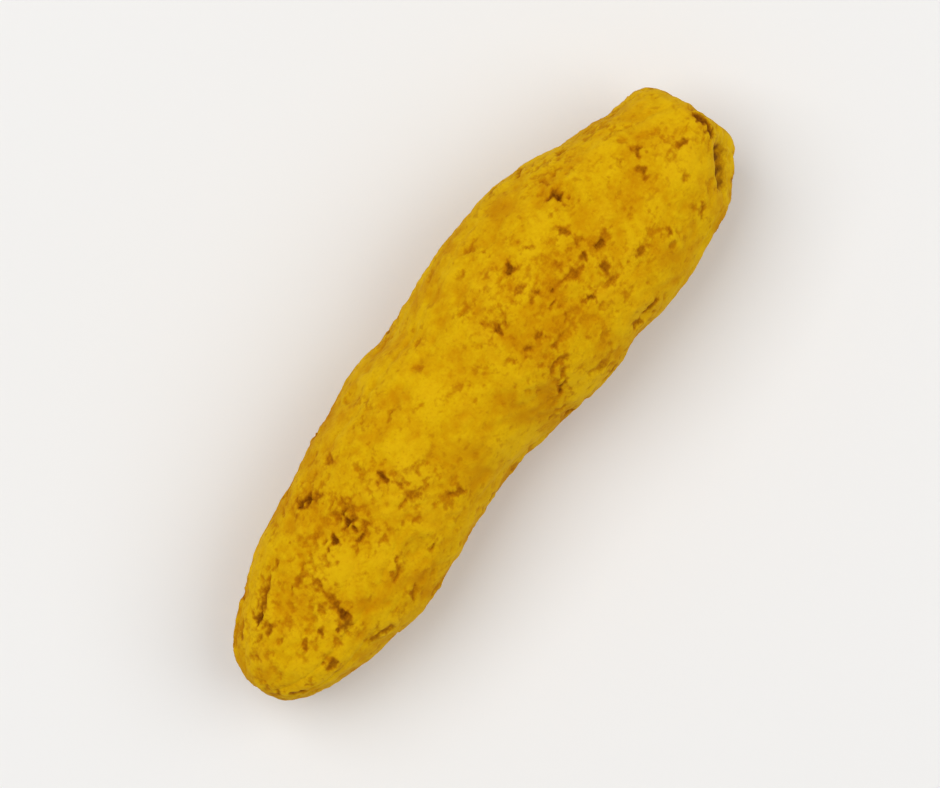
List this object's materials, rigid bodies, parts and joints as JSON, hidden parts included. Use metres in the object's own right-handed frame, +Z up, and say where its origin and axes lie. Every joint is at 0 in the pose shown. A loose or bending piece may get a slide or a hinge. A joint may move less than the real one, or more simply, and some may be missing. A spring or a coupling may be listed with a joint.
{
  "type": "dried turmeric root",
  "caption": "Whole dried turmeric finger: a blunt, slightly bowed rhizome branch with faint node rings, rootlet scars and an oblique broken neck, lying on a small flat spot.",
  "frame": {"origin": "under the middle of the finger's box, on the surface it lies on", "axes": "+X along the finger from its growing tip to its broken neck, +Y to the side it bows towards, +Z up from the surface it lies on"},
  "size_m": [0.0372, 0.0112, 0.0101],
  "materials": {
    "dried_skin": "matte, polished by tumbling, with a dusting of its own powder"
  },
  "bodies": {
    "root": {"turmeric_root": "dried_skin"}
  },
  "joints": []
}
